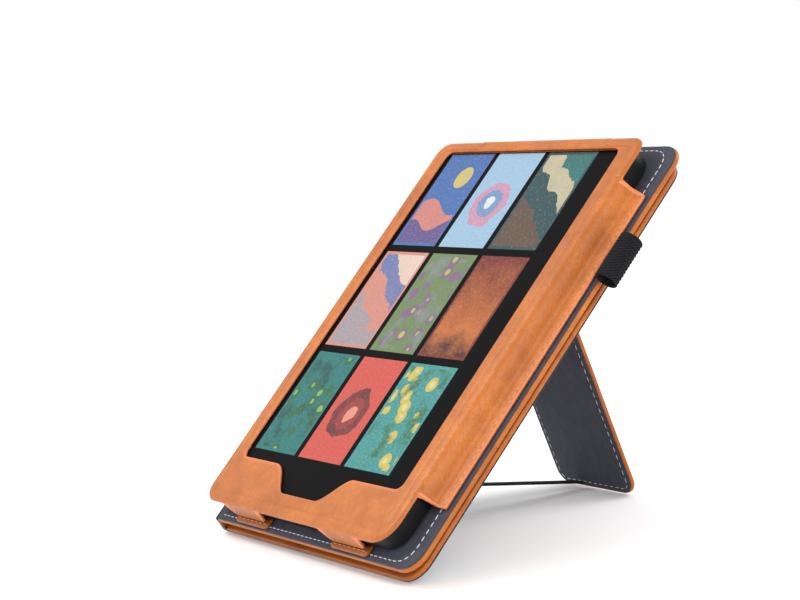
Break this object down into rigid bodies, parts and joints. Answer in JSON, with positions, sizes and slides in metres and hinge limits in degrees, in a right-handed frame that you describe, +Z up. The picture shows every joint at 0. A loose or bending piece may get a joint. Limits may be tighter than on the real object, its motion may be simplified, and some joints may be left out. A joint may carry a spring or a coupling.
{
  "type": "e-reader",
  "caption": "Slim e-reader in a tan leather folio, its front cover folded behind and propped on a kickstand with a ribbon stay.",
  "frame": {"origin": "centre of the bounding box's base, on the table", "axes": "+X to the reader's right, +Y away from the reader of the screen, +Z up"},
  "size_m": [0.1606, 0.1642, 0.1477],
  "materials": {
    "tan_leather": "smooth tan hide, semi-matt",
    "navy_lining": "fine navy microfibre",
    "grey_board": "plain stiffening board",
    "black_elastic": "woven black elastic",
    "black_plastic": "soft-touch black",
    "dark_glass": "anti-glare cover glass",
    "clear_guide": "clear light guide",
    "paper_panel": "colour ink display film",
    "circuit_board": "solder-masked board",
    "bright_metal": "plain metal",
    "battery_foil": "laminated foil",
    "amber_film": "flexible circuit film"
  },
  "bodies": {
    "back_cover": {"back_cover_leather": "tan_leather", "back_cover_board": "grey_board", "back_cover_lining": "navy_lining", "back_crease_leather": "tan_leather", "reader_rest_pad": "black_elastic", "holder_leather": "tan_leather", "pen_loop": "black_elastic"},
    "spine": {"spine_leather": "tan_leather", "spine_stiffener": "grey_board", "spine_lining": "navy_lining"},
    "front_cover": {"front_cover_leather": "tan_leather", "front_cover_board": "grey_board", "front_cover_lining": "navy_lining", "front_crease_leather": "tan_leather", "closing_magnet_1": "bright_metal", "closing_magnet_2": "bright_metal", "kickstand_hinge_tape": "navy_lining", "strap_elastic_top": "black_elastic", "strap_elastic_bottom": "black_elastic", "stay_ribbon": "black_elastic"},
    "kickstand": {"kickstand_leather": "tan_leather", "kickstand_board": "grey_board", "kickstand_lining": "navy_lining"},
    "hand_strap": {"hand_strap_leather": "tan_leather", "hand_strap_lining": "navy_lining"},
    "reader": {"rear_housing": "black_plastic", "front_glass": "dark_glass", "light_guide": "clear_guide", "front_light_strip": "amber_film", "epaper_panel": "paper_panel", "display_flex": "amber_film", "mid_frame": "bright_metal", "main_board": "circuit_board", "shield_can": "bright_metal", "battery_cell": "battery_foil", "usb_port": "bright_metal", "button_switch": "bright_metal", "frame_screw_1": "bright_metal", "frame_screw_2": "bright_metal", "frame_screw_3": "bright_metal", "frame_screw_4": "bright_metal"},
    "power_button": {"power_button": "black_plastic"}
  },
  "joints": [
    {"name": "spine_crease_back", "type": "hinge", "parent": "back_cover", "child": "spine", "pos_m": [-0.07199, -0.01168, 0.07566], "axis": [0, 0.6896, 0.7242], "range_deg": [0, 142.57], "deforming": ["back_crease_leather"]},
    {"name": "spine_crease_front", "type": "hinge", "parent": "spine", "child": "front_cover", "pos_m": [-0.08026, -0.00386, 0.06822], "axis": [0, 0.6896, 0.7242], "range_deg": [0, 217.43], "deforming": ["front_crease_leather"]},
    {"name": "kickstand_hinge", "type": "hinge", "parent": "front_cover", "child": "kickstand", "pos_m": [-0.03026, 0.03795, 0.11194], "axis": [-1, 0, 0], "range_deg": [0, 64.02], "deforming": ["stay_ribbon"]},
    {"name": "hand_strap_lift", "type": "slide", "parent": "front_cover", "child": "hand_strap", "axis": [0, -0.7242, 0.6896], "range_m": [-0.018, 0], "stiffness_N_per_m": 150, "springref_m": 0.004, "deforming": ["strap_elastic_top", "strap_elastic_bottom"]},
    {"name": "reader_slide", "type": "slide", "parent": "back_cover", "child": "reader", "axis": [1, 0, 0], "range_m": [-0.135, 0]},
    {"name": "power_button_press", "type": "slide", "parent": "reader", "child": "power_button", "axis": [0, 0.6896, 0.7242], "range_m": [0, 0.0003], "stiffness_N_per_m": 600, "springref_m": -0.0006}
  ]
}
